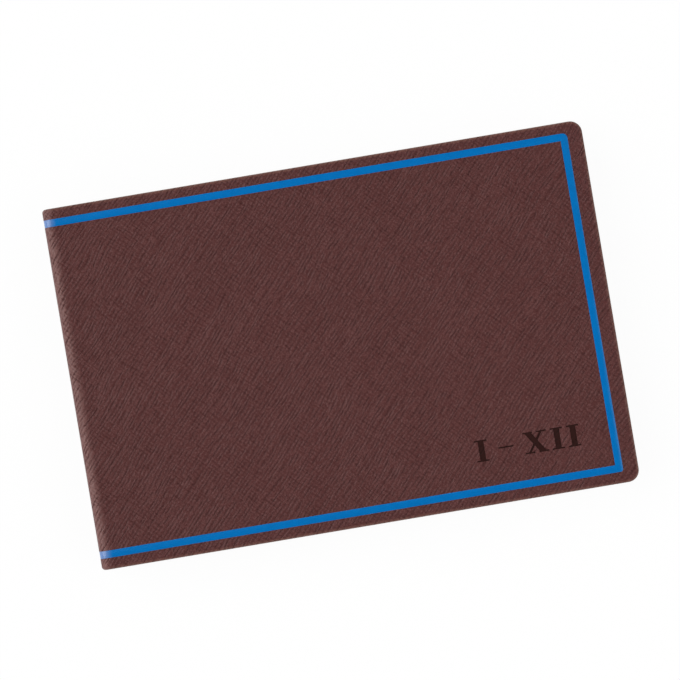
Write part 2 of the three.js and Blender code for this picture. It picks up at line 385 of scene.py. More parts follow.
# Fibres and flecks in paper and board.
def makePaperFibre():
    look = fibreShape
    group, start, end = newGroup(
        "paperFibre",
        [("Vector", "Vector", None), ("Colour", "Color", (0.8, 0.78, 0.72, 1)),
         ("Fleck", "Color", (0.6, 0.56, 0.5, 1)), ("Amount", "Float", 0.2)],
        [("Colour", "Color"), ("Height", "Float")])
    stretched = addNode(group, "ShaderNodeVectorMath", {0: start["Vector"], 1: look["stretch"]},
                        operation="MULTIPLY").outputs[0]
    fibre = noiseNode(group, stretched, look["scale"], 4.0, 0.65)
    cloud = noiseNode(group, start["Vector"], look["cloudScale"], 3.0)
    flecks = times(group, rangeNode(group, fibre, 0.5, 0.75), start["Amount"])
    tint = mixColour(group, flecks, start["Colour"], start["Fleck"])
    clouds = times(group, rangeNode(group, cloud, 0.45, 0.7), look["cloudShare"])
    feed(group, mixColour(group, clouds, tint, start["Fleck"]), end["Colour"])
    feed(group, fibre, end["Height"])
    return group


weaveShape = {"crossing": 0.3, "gapFrom": 0.55, "gapFull": 0.3}


# Plain weave of over and under threads, for gauze and tape. Count is in threads per millimetre.
def makeWeave():
    look = weaveShape
    group, start, end = newGroup(
        "plainWeave",
        [("Vector", "Vector", None), ("Count", "Float", 1.6)],
        [("Height", "Float"), ("Gap", "Float")])
    y, z = splitVector(group, start["Vector"])[1:]
    turns = times(group, start["Count"], math.pi)
    waves = [mathNode(group, "SINE", times(group, part, turns)) for part in (y, z)]
    cover = mathNode(group, "MAXIMUM", *[mathNode(group, "ABSOLUTE", wave) for wave in waves])
    crossing = times(group, *waves)
    feed(group, mathNode(group, "MULTIPLY_ADD", crossing, look["crossing"], cover), end["Height"])
    feed(group, rangeNode(group, cover, look["gapFrom"], look["gapFull"]), end["Gap"])
    return group


crossGrain = makeCrossGrain(makeRidges())
paperFibre = makePaperFibre()
plainWeave = makeWeave()
print("node groups made")


def newMaterial(name, colour, rough, specular):
    material = bpy.data.materials.new(name)
    material.use_nodes = True
    tree = material.node_tree
    sockets = tree.nodes["Principled BSDF"].inputs
    sockets["Base Color"].default_value = colour
    sockets["Roughness"].default_value = rough
    sockets["Specular IOR Level"].default_value = specular
    return material, tree, sockets


def inMillimetres(tree, place):
    return addNode(tree, "ShaderNodeVectorMath", {0: place, "Scale": 1000.0}, operation="SCALE").outputs[0]


def objectPlace(tree):
    return inMillimetres(tree, addNode(tree, "ShaderNodeTexCoord").outputs["Object"])


def layOfCover(tree):
    return inMillimetres(tree, addNode(tree, "ShaderNodeUVMap", uv_map="lay").outputs[0])


def addRelief(tree, sockets, height, depth):
    bump = addNode(tree, "ShaderNodeBump", {"Height": height, "Distance": depth * mm})
    feed(tree, bump.outputs[0], sockets["Normal"])


# The leatherette is stretched round both shoulders and paler there: partly the stretch, partly a painted
# highlight where the shoulders catch the light. Reaches are in millimetres.
foldLook = {"wanderScale": 0.3, "wander": 1.1, "flatReach": 1.5, "flatFull": 0.9,
            "spineReach": 1.2, "spineFull": 0.6, "spineShare": 0.25}


def foldMask(tree, vector):
    look = foldLook
    away = mathNode(tree, "ABSOLUTE", minus(tree, splitVector(tree, vector)[0], seamX))
    wander = centred(tree, noiseNode(tree, vector, look["wanderScale"]))
    away = plus(tree, away, times(tree, wander, look["wander"]))
    flat = rangeNode(tree, away, foldStart + look["flatReach"], foldStart - look["flatFull"], smooth=True)
    spine = rangeNode(tree, away, foldEnd - look["spineReach"], foldEnd + look["spineFull"],
                      look["spineShare"], 1.0, smooth=True)
    return times(tree, flat, spine)


# The lighter patch, groove, ridge, edge and shoulder colours are partly painted sheen, shade and highlights,
# on top of the leatherette's own tones.
leatherLook = {
    "base": linear(77, 36, 34), "light": linear(85, 43, 41), "groove": linear(57, 15, 12),
    "peak": linear(112, 72, 70), "rubAndSheen": linear(128, 87, 74), "fold": linear(124, 88, 84),
    "patchFrom": 0.35, "patchFull": 0.65, "patchShare": 0.35, "grooveShare": 0.8, "peakShare": 0.52,
    "valley": 0.2, "ridge": 0.9, "rubAndSheenShare": (0.35, 0.8), "foldShare": (0.1, 0.8),
    "rough": 0.52, "roughValley": 0.1, "roughRidge": 0.08, "polish": 0.1, "specular": 0.26, "depth": 0.18,
}


def makeLeatherette():
    look = leatherLook
    material, tree, sockets = newMaterial("leatherette", look["base"], look["rough"], look["specular"])
    vector = layOfCover(tree)
    grain = useGroup(tree, crossGrain, {"Vector": vector})

    # One value in the grooves, another on the ridges.
    def byHeight(inGroove, onRidge):
        return rangeNode(tree, grain["Height"], look["valley"], look["ridge"], inGroove, onRidge)

    # Soft lighter patches: partly random tone of the leatherette, partly painted sheen.
    patch = rangeNode(tree, grain["Patch"], look["patchFrom"], look["patchFull"])
    tint = mixColour(tree, times(tree, patch, look["patchShare"]), look["base"], look["light"])
    # Darker in the grooves: partly the grain's own tone, partly painted shade in the hollows.
    tint = mixColour(tree, times(tree, grain["Groove"], look["grooveShare"]), tint, look["groove"])
    # Lighter on the ridges and pebbles: partly the grain's own tone, partly painted highlights.
    tint = mixColour(tree, times(tree, grain["Peak"], look["peakShare"]), tint, look["peak"])
    rim = addNode(tree, "ShaderNodeAttribute", attribute_name="rim").outputs["Fac"]
    # Lighter at the cover's rounded edges: partly edge wear, partly a painted highlight where the edges catch
    # the light.
    tint = mixColour(tree, times(tree, rim, byHeight(*look["rubAndSheenShare"])), tint, look["rubAndSheen"])
    fold = foldMask(tree, vector)
    # Paler round the shoulders: partly stretched leatherette, partly a painted highlight.
    tint = mixColour(tree, times(tree, fold, byHeight(*look["foldShare"])), tint, look["fold"])
    feed(tree, tint, sockets["Base Color"])
    rough = byHeight(look["rough"] + look["roughValley"], look["rough"] - look["roughRidge"])
    polished = times(tree, mathNode(tree, "MAXIMUM", rim, fold), look["polish"])
    feed(tree, minus(tree, rough, polished), sockets["Roughness"])
    addRelief(tree, sockets, grain["Height"], look["depth"])
    return material


# The pale colour is partly a painted highlight on the line round the shoulders.
lineLook = {
    "colour": linear(0, 111, 183), "deep": linear(0, 102, 173), "pale": linear(176, 172, 196),
    "deepShare": 0.6, "paleShare": 0.3, "cloudScale": 0.35, "fineScale": 4.0, "rough": 0.17,
    "roughLess": 0.05, "roughMore": 0.1, "specular": 0.45, "grain": 0.35, "fine": 0.3, "depth": 0.02,
}


def makeBorderLine():
    look = lineLook
    material, tree, sockets = newMaterial("borderLine", look["colour"], look["rough"], look["specular"])
    vector = layOfCover(tree)
    cloud = noiseNode(tree, vector, look["cloudScale"], 3.0, 0.6)
    fine = noiseNode(tree, vector, look["fineScale"])
    grain = useGroup(tree, crossGrain, {"Vector": vector})
    deep = rangeNode(tree, cloud, 0.35, 0.7, 0.0, look["deepShare"])
    tint = mixColour(tree, deep, look["colour"], look["deep"])
    # The line is paler round the shoulders: partly stretched inlay, partly a painted highlight.
    stretched = times(tree, foldMask(tree, vector), look["paleShare"])
    feed(tree, mixColour(tree, stretched, tint, look["pale"]), sockets["Base Color"])
    less, more = look["rough"] - look["roughLess"], look["rough"] + look["roughMore"]
    feed(tree, rangeNode(tree, fine, 0.3, 0.7, less, more), sockets["Roughness"])
    height = plus(tree, times(tree, grain["Height"], look["grain"]), times(tree, fine, look["fine"]))
    addRelief(tree, sockets, height, look["depth"])
    return material


stampLook = {"colour": linear(44, 20, 17), "groove": linear(30, 12, 10), "noiseScale": 1.5,
             "rough": (0.38, 0.5), "specular": 0.12, "depth": 0.03}


def makeStampedFloor():
    look = stampLook
    material, tree, sockets = newMaterial("stampedFloor", look["colour"], look["rough"][1], look["specular"])
    vector = layOfCover(tree)
    grain = useGroup(tree, crossGrain, {"Vector": vector})
    feed(tree, mixColour(tree, grain["Groove"], look["colour"], look["groove"]), sockets["Base Color"])
    noise = noiseNode(tree, vector, look["noiseScale"])
    feed(tree, rangeNode(tree, noise, 0.3, 0.7, *look["rough"]), sockets["Roughness"])
    addRelief(tree, sockets, grain["Height"], look["depth"])
    return material


paperLook = {"specular": 0.25, "roughSpread": 0.06}


def makePaper(name, colour, fleck, amount, rough=0.85, depth=0.012, printed=False):
    look = paperLook
    material, tree, sockets = newMaterial(name, colour, rough, look["specular"])
    vector = objectPlace(tree)
    fibre = useGroup(tree, paperFibre, {"Vector": vector, "Colour": colour, "Fleck": fleck, "Amount": amount})
    tint = addPrinting(tree, vector, fibre["Colour"]) if printed else fibre["Colour"]
    feed(tree, tint, sockets["Base Color"])
    less, more = rough - look["roughSpread"], rough + look["roughSpread"]
    feed(tree, rangeNode(tree, fibre["Height"], 0.3, 0.7, less, more), sockets["Roughness"])
    addRelief(tree, sockets, fibre["Height"], depth)
    return material


# Ruled lines of the pages, in millimetres from the middle of the diary.
pagePrint = {"left": -66.0, "right": 66.0, "top": 41.0, "bottom": -41.0, "margin": 0.3, "blocks": 4,
             "rulesPerBlock": 3, "rule": 0.14, "divider": 0.34, "inkShare": 0.8,
             "ink": linear(120, 150, 176), "heavyInk": linear(40, 98, 150)}


def addPrinting(tree, vector, paper):
    look = pagePrint
    x, y = splitVector(tree, vector)[:2]
    blockPitch = (look["top"] - look["bottom"]) / look["blocks"]

    def rules(pitch, width):
        turns = mathNode(tree, "DIVIDE", minus(tree, y, look["bottom"]), pitch)
        away = mathNode(tree, "ABSOLUTE", minus(tree, turns, mathNode(tree, "ROUND", turns)))
        return mathNode(tree, "LESS_THAN", times(tree, away, pitch), width / 2)

    def between(value, low, high):
        above = mathNode(tree, "GREATER_THAN", value, low)
        return times(tree, above, mathNode(tree, "LESS_THAN", value, high))

    inside = times(tree, between(x, look["left"], look["right"]),
                   between(y, look["bottom"] - look["margin"], look["top"] + look["margin"]))
    light = times(tree, rules(blockPitch / look["rulesPerBlock"], look["rule"]), inside)
    heavy = times(tree, rules(blockPitch, look["divider"]), inside)
    tint = mixColour(tree, times(tree, light, look["inkShare"]), paper, look["ink"])
    return mixColour(tree, heavy, tint, look["heavyInk"])


clothLook = {"rough": (0.95, 0.8), "specular": 0.2, "depth": 0.06}


def makeCloth(name, colour, gap, count):
    look = clothLook
    material, tree, sockets = newMaterial(name, colour, look["rough"][0], look["specular"])
    weave = useGroup(tree, plainWeave, {"Vector": objectPlace(tree), "Count": count})
    feed(tree, mixColour(tree, weave["Gap"], colour, gap), sockets["Base Color"])
    feed(tree, rangeNode(tree, weave["Height"], 0.3, 1.2, *look["rough"]), sockets["Roughness"])
    addRelief(tree, sockets, weave["Height"], look["depth"])
    return material


threadLook = {"lay": 7.0, "slant": 9.0, "shadeShare": 0.7, "fuzzScale": 9.0, "fuzz": 0.4,
              "rough": (0.65, 0.85), "specular": 0.25, "depth": 0.04}


def makeThread(name, colour, shade):
    look = threadLook
    material, tree, sockets = newMaterial(name, colour, look["rough"][1], look["specular"])
    vector = objectPlace(tree)
    x, y, z = splitVector(tree, vector)
    lay = plus(tree, times(tree, y, look["lay"]), times(tree, plus(tree, x, z), look["slant"]))
    ply = mathNode(tree, "MULTIPLY_ADD", mathNode(tree, "SINE", lay), 0.5, 0.5)
    fuzz = noiseNode(tree, vector, look["fuzzScale"], 2.0, 0.6)
    shaded = rangeNode(tree, ply, 0.35, 0.0, 0.0, look["shadeShare"])
    feed(tree, mixColour(tree, shaded, colour, shade), sockets["Base Color"])
    feed(tree, rangeNode(tree, fuzz, 0.3, 0.7, *look["rough"]), sockets["Roughness"])
    addRelief(tree, sockets, plus(tree, ply, times(tree, fuzz, look["fuzz"])), look["depth"])
    return material


leatherette = makeLeatherette()
borderLine = makeBorderLine()
stampedFloor = makeStampedFloor()
leafPaper = makePaper("leafPaper", linear(243, 239, 228), linear(216, 208, 190), 0.22, printed=True)
endPaper = makePaper("endPaper", linear(232, 227, 214), linear(196, 186, 166), 0.35, 0.85, 0.02)
greyBoard = makePaper("greyBoard", linear(160, 150, 132), linear(92, 84, 72), 0.8, 0.92, 0.05)
gauzeCloth = makeCloth("gauzeCloth", linear(226, 220, 203), linear(150, 140, 120), 1.6)
tapeCloth = makeCloth("tapeCloth", linear(232, 227, 214), linear(176, 168, 150), 4.5)
whiteThread = makeThread("whiteThread", linear(239, 234, 219), linear(176, 168, 150))
blueThread = makeThread("blueThread", linear(36, 108, 170), linear(16, 60, 108))
print("materials made")


# Where a point of the flat cover comes to lie on the closed diary.
def foldedPlace(point, side):
    a, y, depth = point.x, point.y, -point.z
    if a >= shoulderX:
        x, z = a, case["thickness"] - depth
    elif a > shoulderX - foldLength:
        turn = (shoulderX - a) / case["shoulder"]
        reach = case["shoulder"] - depth
        x, z = shoulderX - reach * math.sin(turn), shoulderZ + reach * math.cos(turn)
    else:
        x, z = -case["halfLength"] + depth, shoulderZ - (shoulderX - foldLength - a)
    return Vector((x, y, z if side == "front" else case["thickness"] - z))


# Distance travelled over the leatherette from the flat of the cover, so that the grain runs round the edges.
def layPlace(point, side):
    a, y, depth = point.x, point.y, max(-point.z, 0.0)
    half, radius, rounding = case["halfHeight"], case["foreCorner"], case["edgeRound"]
    cornerX, cornerY = case["halfLength"] - radius, half - radius
    if a > cornerX and abs(y) > cornerY:
        away = Vector((a - cornerX, abs(y) - cornerY))
        toEdge = radius - away.length
        out = away.normalized() if away.length > 1e-6 else Vector((0.7071, 0.7071))
    elif case["halfLength"] - a < half - abs(y):
        toEdge, out = case["halfLength"] - a, Vector((1, 0))
    else:
        toEdge, out = half - abs(y), Vector((0, 1))
    out.y = math.copysign(out.y, y)
    quarter = rounding * math.pi / 2
    lower = case["panel"] - rounding
    if toEdge < rounding and depth < rounding:
        travel = rounding * math.atan2(rounding - toEdge, rounding - depth)
    elif toEdge < rounding and depth <= lower:
        travel = quarter + depth - rounding
    elif toEdge < rounding:
        travel = quarter + lower - rounding + rounding * math.atan2(depth - lower, rounding - toEdge)
    elif depth > case["underside"]:
        travel = 2 * quarter + lower - rounding + toEdge - rounding
    else:
        travel = rounding - toEdge
    shift = travel - (rounding - toEdge)
    u, v = a + out.x * shift, y + out.y * shift
    return (u, v) if side == "front" else (2 * seamX - u, v)


# One at the outer edge of a cover, none where its rounding starts.
def rimShare(point):
    toEdge = min(case["halfLength"] - point.x, case["halfHeight"] - abs(point.y))
    cornerX, cornerY = case["halfLength"] - case["foreCorner"], case["halfHeight"] - case["foreCorner"]
    if point.x > cornerX and abs(point.y) > cornerY:
        toEdge = case["foreCorner"] - math.hypot(point.x - cornerX, abs(point.y) - cornerY)
    return max(0.0, min(1.0, 1 - toEdge / case["edgeRound"]))


def foldOntoDiary(piece, side):
    mesh = piece.data
    flat = [vert.co.copy() for vert in mesh.vertices]
    lay = mesh.uv_layers.new(name="lay")
    for loop in mesh.loops:
        u, v = layPlace(flat[loop.vertex_index], side)
        lay.data[loop.index].uv = (u * mm, v * mm)
    rim = mesh.attributes.new("rim", "FLOAT", "POINT")
    for vert, point in zip(mesh.vertices, flat):
        rim.data[vert.index].value = rimShare(point)
        vert.co = foldedPlace(point, side)
    if side == "back":
        mesh.flip_normals()


# One half of the case, laid flat: from the middle of the spine to the fore-edge, outer face up.
def flatCase():
    size = case
    half, panel, rounding = size["halfHeight"], size["panel"], size["edgeRound"]
    piece = addBlock("flatCase", (seamX, -half, -panel), (size["halfLength"], half, 0))
    startEditing(piece, "EDGE")
    onFore = lambda p, q: min(p.x, q.x) > size["halfLength"] - tiny and abs(p.z - q.z) > tiny
    bevelEdges(piece, onFore, size["foreCorner"], size["cornerSteps"])
    onRim = lambda p, q: abs(p.z - q.z) < tiny and max(p.x, q.x) > seamX + tiny
    bevelEdges(piece, onRim, rounding, size["rimSteps"])
    stopEditing()
    fieldY, fieldX = half - size["turnInWidth"], size["halfLength"] - size["turnInWidth"]
    cutAcross(piece, [-fieldY, fieldY], 1)
    cutAcross(piece, [fieldX, size["boardStart"], *foldCuts], 0)

    # The board's side stays open between the turned-in edges, and the spine is thinner than a cover.
    thinStart = shoulderX + tiny
    startEditing(piece)
    pickFaces(piece, lambda c, n: (n.z < -0.9 and abs(c.y) < fieldY and c.x < fieldX) or c.x < seamX + tiny)
    bpy.ops.mesh.delete(type="FACE")
    bpy.ops.mesh.select_mode(type="VERT")
    pickVerts(piece, lambda p: p.x < thinStart and p.z < -rounding - tiny)
    share = (size["spine"] - rounding) / (panel - rounding)
    bpy.ops.transform.resize(value=(1, 1, share), center_override=(0, 0, -rounding))
    stopEditing()
    depths = piece.vertex_groups.new(name="skinDepth")
    for vert in piece.data.vertices:
        bottom = size["spine"] if vert.co.x < thinStart else panel
        turnedIn = -vert.co.z > bottom - size["turnIn"]
        depths.add([vert.index], size["turnIn"] / size["skin"] if turnedIn else 1.0, "REPLACE")
    shell = piece.modifiers.new("thickness", "SOLIDIFY")
    shell.thickness = size["skin"]
    shell.offset = -1
    shell.use_even_offset = True
    shell.vertex_group = "skinDepth"
    shell.thickness_vertex_group = 0.0
    applyModifier(piece, shell)
    piece.vertex_groups.clear()
    return piece


border = {"width": 2.05, "head": 3.0, "tail": 3.2, "fore": 4.3, "headCorner": 1.4, "tailCorner": 0.8,
          "cornerSteps": 6, "grooveDepth": 0.16, "gap": 0.012, "sink": 0.02, "thickness": 0.12, "edge": 0.03,
          "edgeSteps": 2, "past": 5, "grooveTop": 0.5, "groovePast": 4}


# A frame open toward the spine, in the plan of the flat cover.
def borderFrame(name, grow, low, high, startX):
    size = border
    headY = case["halfHeight"] - size["head"] + grow
    tailY = -case["halfHeight"] + size["tail"] - grow
    foreX = case["halfLength"] - size["fore"] + grow
    piece = addBlock(name, (startX, tailY, low), (foreX, headY, high))
    startEditing(piece, "EDGE")
    upright = lambda p, q: min(p.x, q.x) > foreX - tiny and abs(p.z - q.z) > tiny
    atHead = lambda p, q: upright(p, q) and min(p.y, q.y) > 0
    atTail = lambda p, q: upright(p, q) and max(p.y, q.y) < 0
    bevelEdges(piece, atHead, size["headCorner"] + grow, size["cornerSteps"])
    bevelEdges(piece, atTail, size["tailCorner"] + grow, size["cornerSteps"])
    stopEditing()
    wide, past = size["width"] + 2 * grow, size["past"]
    carve(piece, addBlock("inside", (startX - past, tailY + wide, low - past),
                          (foreX - wide, headY - wide, high + past)))
    return piece


stamp = {"baseline": -38.0, "height": 5.95, "left": 31.6, "depth": 0.14, "above": 0.6, "stem": 1.6,
         "hair": 0.42, "serif": 3.4, "cross": 6.5, "foot": 2.7, "dash": 4.2, "gap": 1.1, "space": 2.9,
         "thick": 1.85, "thickFrom": 1.35, "thickTo": 1.25, "thin": 0.75, "thinFrom": 1.15, "thinTo": 1.3}


# Roman numerals from one to twelve, for the months, pressed into the cover.
def numeralCutter():
    size = stamp
    base, top = size["baseline"], size["baseline"] + size["height"]
    low, high = -size["depth"], size["above"]
    blocks = []

    def bar(left, right, bottom, upper):
        blocks.append(addBlock("bar", (left, bottom, low), (right, upper, high)))

    def slanted(fromX, toX, width):
        piece = addBlock("slant", (fromX - width / 2, base, low), (fromX + width / 2, top, high))
        startEditing(piece, "VERT")
        pickVerts(piece, lambda p: p.y > top - tiny)
        bpy.ops.transform.translate(value=(toX - fromX, 0, 0))
        stopEditing()
        blocks.append(piece)

    def serifs(left, wide):
        bar(left, left + wide, base, base + size["hair"])
        bar(left, left + wide, top - size["hair"], top)

    def one(left):
        middle = left + size["serif"] / 2
        bar(middle - size["stem"] / 2, middle + size["stem"] / 2, base + tiny, top - tiny)
        serifs(left, size["serif"])
        return left + size["serif"]

    def ten(left):
        right = left + size["cross"]
        slanted(right - size["thickFrom"], left + size["thickTo"], size["thick"])
        slanted(left + size["thinFrom"], right - size["thinTo"], size["thin"])
        serifs(left, size["foot"])
        serifs(right - size["foot"], size["foot"])
        return right

    edge = one(size["left"]) + size["space"]
    middle = (base + top) / 2
    bar(edge, edge + size["dash"], middle - size["hair"] / 2, middle + size["hair"] / 2)
    edge = ten(edge + size["dash"] + size["space"]) + size["gap"]
    edge = one(edge) + size["gap"]
    one(edge)
    cutter = blocks[0]
    for other in blocks[1:]:
        carve(cutter, other, "UNION")
    return cutter


def makeSkins():
    front = flatCase()
    groove = borderFrame("grooveCutter", border["gap"], -border["grooveDepth"], border["grooveTop"],
                         seamX - border["groovePast"])
    cutAcross(groove, foldCuts, 0)
    carve(front, groove)
    wear(front, leatherette, stampedFloor)
    back = copyOf(front, "backSkin")
    rename(front, "frontSkin")
    cutter = numeralCutter()
    wear(cutter, stampedFloor)
    carve(front, cutter)
    for piece, side in ((front, "front"), (back, "back")):
        foldOntoDiary(piece, side)
        finishPiece(piece)
    return front, back


def makeBorder(side):
    top = -border["sink"]
    piece = borderFrame(side + "Border", 0.0, top - border["thickness"], top, seamX)
    startEditing(piece, "EDGE")
    atSeam = lambda p, q: abs(p.x - seamX) < tiny and abs(q.x - seamX) < tiny
    onTop = lambda p, q: min(p.z, q.z) > top - tiny and not atSeam(p, q)
    bevelEdges(piece, onTop, border["edge"], border["edgeSteps"])
    stopEditing()
    cutAcross(piece, foldCuts, 0)
    wear(piece, borderLine)
    foldOntoDiary(piece, side)
    finishPiece(piece)
    return piece


frontSkin, backSkin = makeSkins()
frontBorder, backBorder = makeBorder("front"), makeBorder("back")
print("covers folded")


# The book block in millimetres. Each leaf is nudged within the ranges "out" and "along".
leaves = {"foldX": -72.856, "foreX": 72.0, "halfHeight": 47.2, "corner": 2.8, "sheets": 4, "leaf": 0.09,
          "paper": 0.083, "pitch": 0.77, "firstZ": 2.4, "sections": 10, "opening": 5, "foldSteps": 6,
          "cornerSteps": 6, "seed": 7, "out": (-0.14, 0.02), "along": (-0.1, 0.1), "alongAtFold": 0.35}


# One folded sheet: two leaves and the fold between them, from its own low plane.
def foldedSheet(inset):
    size = leaves
    thick = size["sheets"] * 2 * size["leaf"]
    low = (inset + 0.5) * size["leaf"]
    high = thick - low
    startX = size["foldX"] + thick / 2
    deselectAll()
    bpy.ops.mesh.primitive_plane_add(size=1, location=((startX + size["foreX"]) / 2, 0, low))
    sheet = bpy.context.active_object
    sheet.scale = (size["foreX"] - startX, 2 * size["halfHeight"], 1)
    applyPlace()
    startEditing(sheet, "EDGE")
    pickEdges(sheet, lambda p, q: max(p.x, q.x) < startX + tiny)
    bpy.ops.mesh.spin(steps=size["foldSteps"], angle=math.pi, center=(startX, 0, thick / 2), axis=(0, 1, 0))
    mesh = bmesh.from_edit_mesh(sheet.data)
    for edge in mesh.edges:
        p, q = (vert.co for vert in edge.verts)
        onTop = abs(p.z - high) < tiny and abs(q.z - high) < tiny
        edge.select_set(edge.is_boundary and onTop and abs(p.y - q.y) > tiny)
    bpy.ops.mesh.extrude_region_move(TRANSFORM_OT_translate={"value": (size["foreX"] - startX, 0, 0)})
    bpy.ops.mesh.select_mode(type="VERT")
    pickVerts(sheet, lambda p: p.x > size["foreX"] - tiny)
    bpy.ops.mesh.bevel(offset=size["corner"], segments=size["cornerSteps"], affect="VERTICES")
    stopEditing()
    tidyNormals(sheet)
    shell = sheet.modifiers.new("thickness", "SOLIDIFY")
    shell.thickness = size["paper"]
    shell.offset = 0
    applyModifier(sheet, shell)
    return sheet


def makeSections():
    random.seed(leaves["seed"])
    size = leaves
    sheets = [foldedSheet(inset) for inset in range(size["sheets"])]
    middle = size["sheets"] * size["leaf"]
    made = []
    for index in range(size["sections"]):
        label = f"{size['sections'] - index:02d}"
        copies = [copyOf(sheet, "sheet") for sheet in sheets]
        for copy in copies:
            nudge = [(random.uniform(*size["out"]), random.uniform(*size["along"])) for _ in range(2)]
            for vert in copy.data.vertices:
                out, along = nudge[0] if vert.co.z < middle else nudge[1]
                share = (vert.co.x - size["foldX"]) / (size["foreX"] - size["foldX"])
                vert.co.x += out * share
                vert.co.y += along * (size["alongAtFold"] + (1 - size["alongAtFold"]) * share)
                vert.co.z += size["firstZ"] + size["pitch"] * index
        piece = joinAll(copies, "leaves" + label)
        wear(piece, leafPaper)
        finishPiece(piece, 40)
        made.append((label, piece))
    for sheet in sheets:
        bpy.data.objects.remove(sheet)
    return made


sections = makeSections()
print("leaves folded")


inkLook = {"colour": linear(34, 84, 136), "worn": linear(84, 128, 170), "wornShare": 0.5, "speckScale": 6.0,
           "rough": (0.5, 0.7), "specular": 0.3}


def makeInk():
    look = inkLook
    material, tree, sockets = newMaterial("pageInk", look["colour"], look["rough"][1], look["specular"])
    speck = noiseNode(tree, objectPlace(tree), look["speckScale"], 3.0, 0.6)
    worn = rangeNode(tree, speck, 0.45, 0.75, 0.0, look["wornShare"])
    feed(tree, mixColour(tree, worn, look["colour"], look["worn"]), sockets["Base Color"])
    feed(tree, rangeNode(tree, speck, 0.3, 0.7, *look["rough"]), sockets["Roughness"])
    return material


# Day numbers on the two pages where the diary opens.
dayNumbers = {"size": 4.6, "x": 64.5, "drop": 5.6, "lift": 0.008, "thickness": 0.008}


def makeDayNumbers(name, numbers, facing, ink):
    look, page = dayNumbers, pagePrint
    block = (page["top"] - page["bottom"]) / page["blocks"]
    lowZ = leaves["firstZ"] + leaves["pitch"] * leaves["opening"]
    highZ = lowZ - leaves["pitch"] + leaves["sheets"] * 2 * leaves["leaf"]
    made = []
    for row, number in enumerate(numbers):
        deselectAll()
        bpy.ops.object.text_add(location=(0, 0, 0))
        text = bpy.context.active_object
        text.data.body = str(number)
        text.data.size = look["size"]
        text.data.align_x = "LEFT"
        bpy.ops.object.convert(target="MESH")
        text = bpy.context.active_object
        startEditing(text)
        bpy.ops.mesh.select_all(action="SELECT")
        bpy.ops.mesh.extrude_region_move(TRANSFORM_OT_translate={"value": (0, 0, look["thickness"])})
        stopEditing()
        y = page["top"] - block * row - look["drop"]
        if facing == "up":
            text.location = (-look["x"], y, highZ + look["lift"])
        else:
            text.rotation_euler = (0, math.pi, 0)
            text.location = (look["x"], y, lowZ - look["lift"])
        applyPlace()
        made.append(text)
    piece = joinAll(made, name)
    tidyNormals(piece)
    wear(piece, ink)
    finishPiece(piece)
    return piece


pageInk = makeInk()
leftNumbers = makeDayNumbers("dayNumbersLeft", (1, 2, 3, 4), "down", pageInk)
rightNumbers = makeDayNumbers("dayNumbersRight", (5, 6, 7), "up", pageInk)
print("page numbers laid")


band = {"x": -72.856, "y": 47.85, "low": 2.3, "high": 10.15, "core": 0.34, "wrap": 0.44, "thread": 0.155,
        "pitch": 0.302, "slant": 9, "stripe": 3, "wrapSteps": 18, "threadSteps": 8, "coreSteps": 14,
        "coreEdge": 0.08, "endGap": 0.1, "tapeLow": 40.2, "tapeStart": -73.156, "tapeEnd": -72.906,
        "tapePast": 0.2, "tapeEdge": 0.05}


# Thread sewn over a core in two colours, on a strip of tape behind the folds.
def makeBand(name, side):
    size = band
    y = size["y"] * side
    coreLength = size["high"] - size["low"] - size["endGap"]
    finishes = (whiteThread, blueThread, tapeCloth)
    deselectAll()
    bpy.ops.mesh.primitive_torus_add(
        location=(size["x"], y, 0), rotation=(math.radians(size["slant"]), 0, 0),
        major_radius=size["wrap"], minor_radius=size["thread"],
        major_segments=size["wrapSteps"], minor_segments=size["threadSteps"])
    wrap = bpy.context.active_object
    applyPlace()
    turns = int((coreLength - 2 * size["thread"]) / size["pitch"]) + 1
    start = (size["low"] + size["high"] - (turns - 1) * size["pitch"]) / 2
    parts = []
    for index in range(turns):
        ring = copyOf(wrap, "ring")
        wear(ring, *finishes)
        for vert in ring.data.vertices:
            vert.co.z += start + index * size["pitch"]
        for face in ring.data.polygons:
            face.material_index = (index // size["stripe"]) % 2
        parts.append(ring)
    bpy.data.objects.remove(wrap)
    bpy.ops.mesh.primitive_cylinder_add(
        vertices=size["coreSteps"], radius=size["core"], depth=coreLength,
        location=(size["x"], y, (size["low"] + size["high"]) / 2))
    core = bpy.context.active_object
    applyPlace()
    startEditing(core, "EDGE")
    bevelEdges(core, lambda p, q: abs(p.z - q.z) < tiny, size["coreEdge"], 2)
    stopEditing()
    lowY, highY = sorted((size["tapeLow"] * side, (size["y"] + size["tapePast"]) * side))
    tape = addBlock("tape", (size["tapeStart"], lowY, size["low"]), (size["tapeEnd"], highY, size["high"]))
    startEditing(tape, "EDGE")
    bevelEdges(tape, lambda p, q: True, size["tapeEdge"], 2)
    stopEditing()
    for piece in (core, tape):
        wear(piece, *finishes)
        for face in piece.data.polygons:
            face.material_index = finishes.index(tapeCloth)
    whole = joinAll([*parts, core, tape], name)
    finishPiece(whole, 50)
    return whole


headband = makeBand("sewnHeadband", 1)
tailband = makeBand("sewnTailband", -1)
print("bands sewn")


# CAD nodes whose shape is right keep it and get a better finish.
stays = {
    "back_board": greyBoard, "front_board": greyBoard, "spine_card": greyBoard,
    "back_pastedown": endPaper, "front_pastedown": endPaper,
    "front_flyleaf": endPaper, "rear_flyleaf": endPaper,
    "spine_lining": gauzeCloth,
}
for index in range(leaves["sections"]):
    stays[f"thread_{index + 1:02d}"] = whiteThread
for name, material in stays.items():
    wear(nodes[name], material)

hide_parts("front_cover_skin", "spine_skin")
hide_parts("back_cover_skin", "spine_skin")
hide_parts("front_line", "spine_head_line", "spine_tail_line")
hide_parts("back_line", "spine_head_line", "spine_tail_line")
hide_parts("headband")
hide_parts("tailband")

